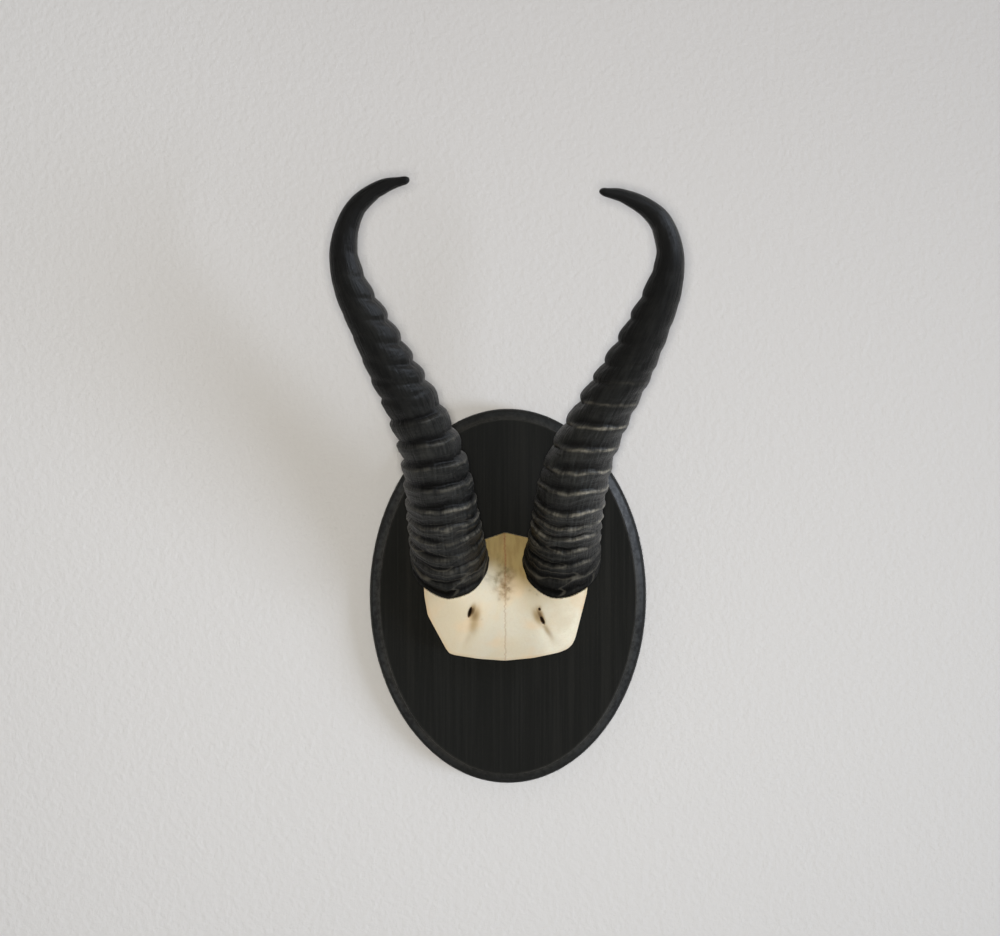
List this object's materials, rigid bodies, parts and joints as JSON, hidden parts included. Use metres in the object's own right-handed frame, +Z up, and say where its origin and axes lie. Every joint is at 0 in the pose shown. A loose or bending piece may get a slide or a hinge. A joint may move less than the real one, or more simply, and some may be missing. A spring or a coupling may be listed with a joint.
{
  "type": "mounted gazelle horns",
  "caption": "Ringed black gazelle horns on a bleached skull cap, fixed to an oval stained wooden plaque that hangs flat on a wall.",
  "frame": {"origin": "centre of the plaque's flat back face, on the wall", "axes": "+Z up along the plaque's long axis, +Y into the wall, so the front looks along -Y; +X to the viewer's right"},
  "size_m": [0.1719, 0.1334, 0.3106],
  "materials": {
    "stained_wood": "black stain, matte, worn a little along the edges",
    "bleached_bone": "bleached bone, dry and slightly porous, stained brown and green along the suture",
    "black_horn": "natural black horn, satin towards the tips, worn paler on the ring crests",
    "zinc_steel": "zinc plated"
  },
  "bodies": {
    "root": {"plaque": "stained_wood", "skull_plate": "bleached_bone", "horn_left": "black_horn", "horn_right": "black_horn", "hanger_plate": "zinc_steel", "hanger_screw_upper": "zinc_steel", "hanger_screw_lower": "zinc_steel", "bone_screw_upper": "zinc_steel", "bone_screw_lower": "zinc_steel"}
  },
  "joints": []
}
